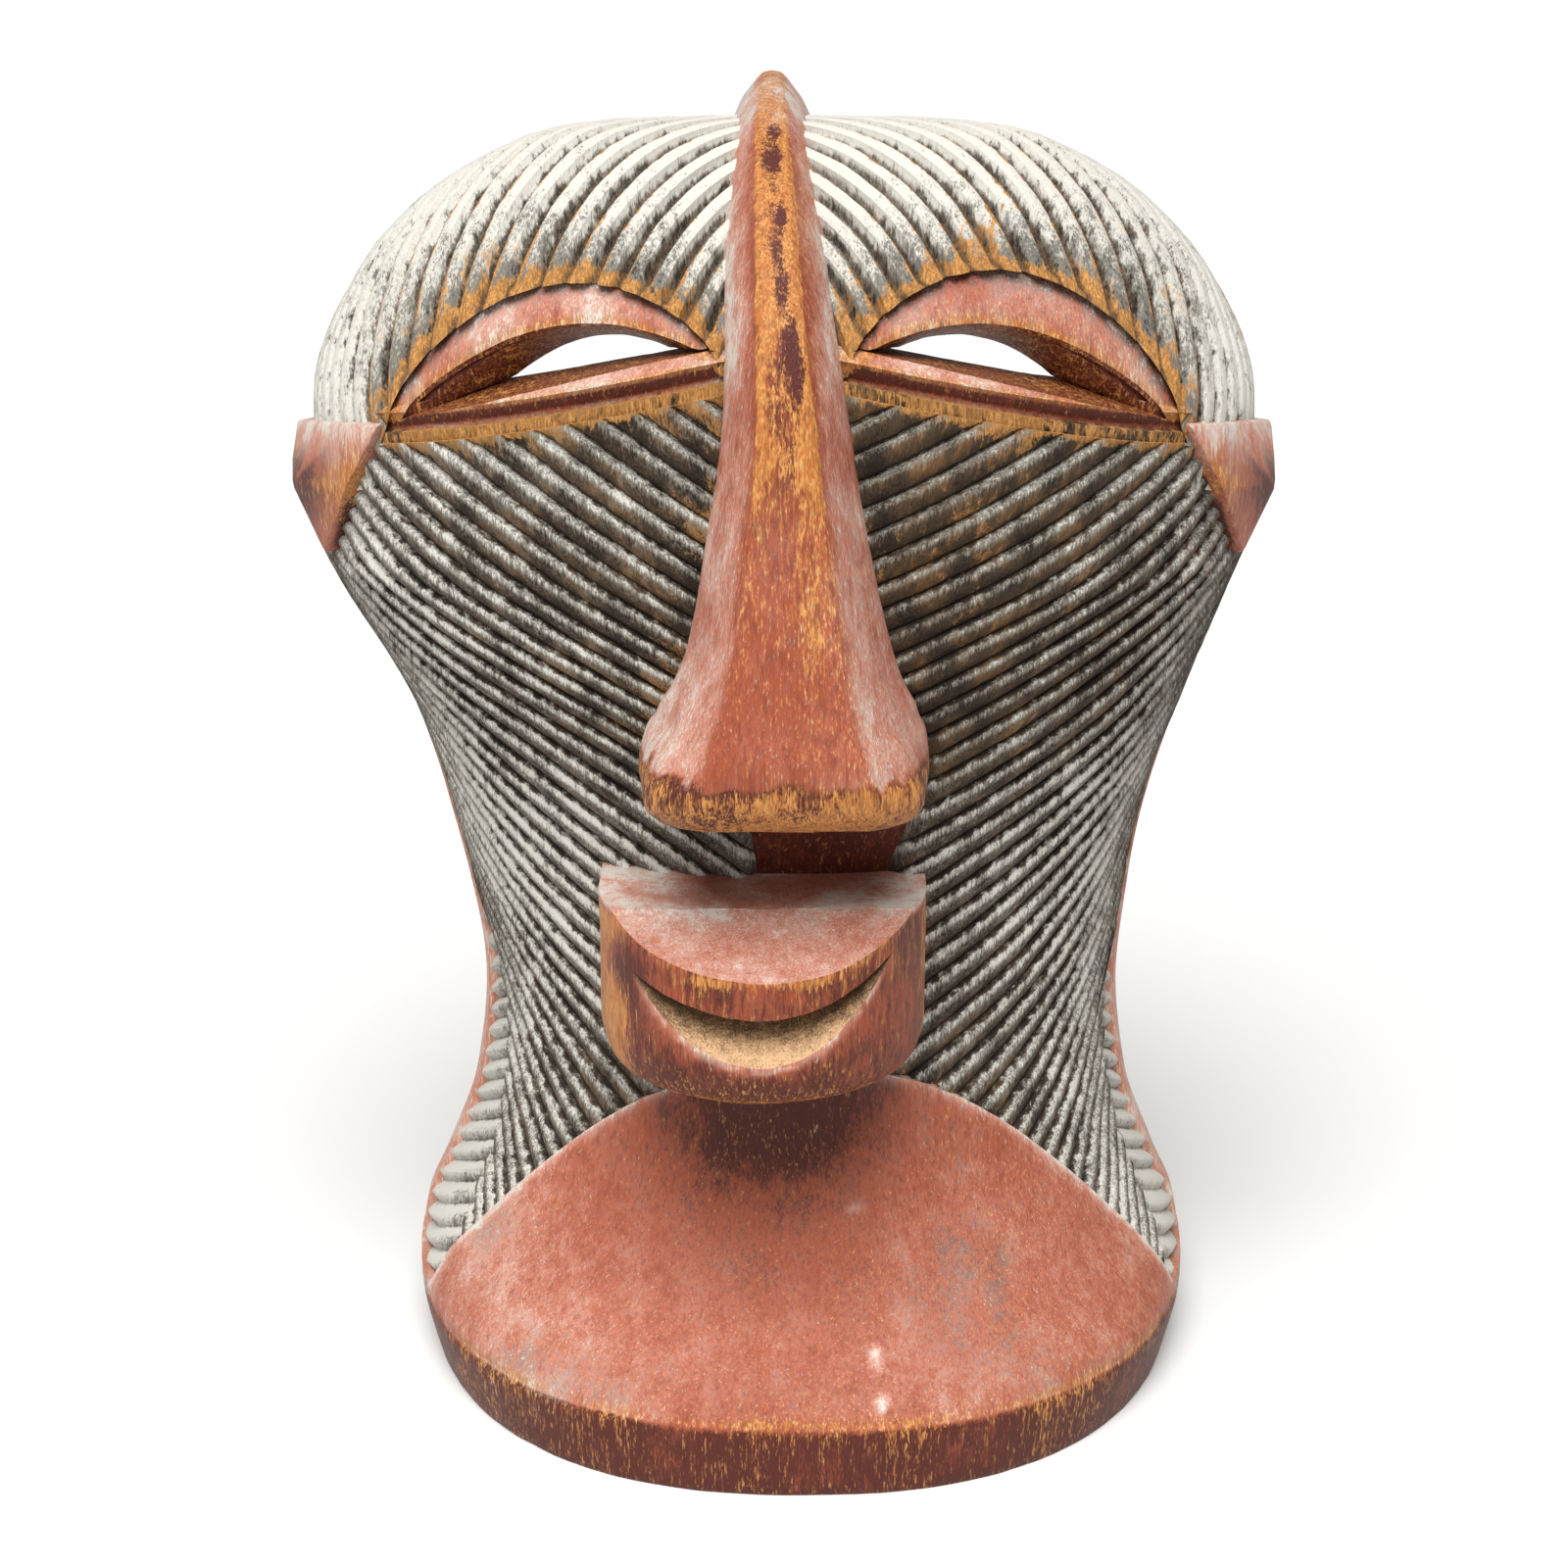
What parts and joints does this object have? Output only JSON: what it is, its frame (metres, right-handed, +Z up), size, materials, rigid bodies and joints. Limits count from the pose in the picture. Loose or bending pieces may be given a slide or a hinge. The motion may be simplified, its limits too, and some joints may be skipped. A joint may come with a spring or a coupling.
{
  "type": "kifwebe mask",
  "caption": "Carved and painted wooden mask with a fluted head and cheeks, a ridge from nose over crown, slotted eyes, a block mouth and a flared foot to stand on; open hollow behind.",
  "frame": {"origin": "middle of the bounding box's foot: on the underside of the base, under the middle of the mask's width and depth", "axes": "+X to the right as its viewer sees it, the face looks along -Y, +Z up"},
  "size_m": [0.263, 0.1274, 0.361],
  "materials": {
    "painted_wood": "matt earth and kaolin paint, rubbed through to ochre wood on the edges"
  },
  "bodies": {
    "root": {"mask": "painted_wood"}
  },
  "joints": []
}
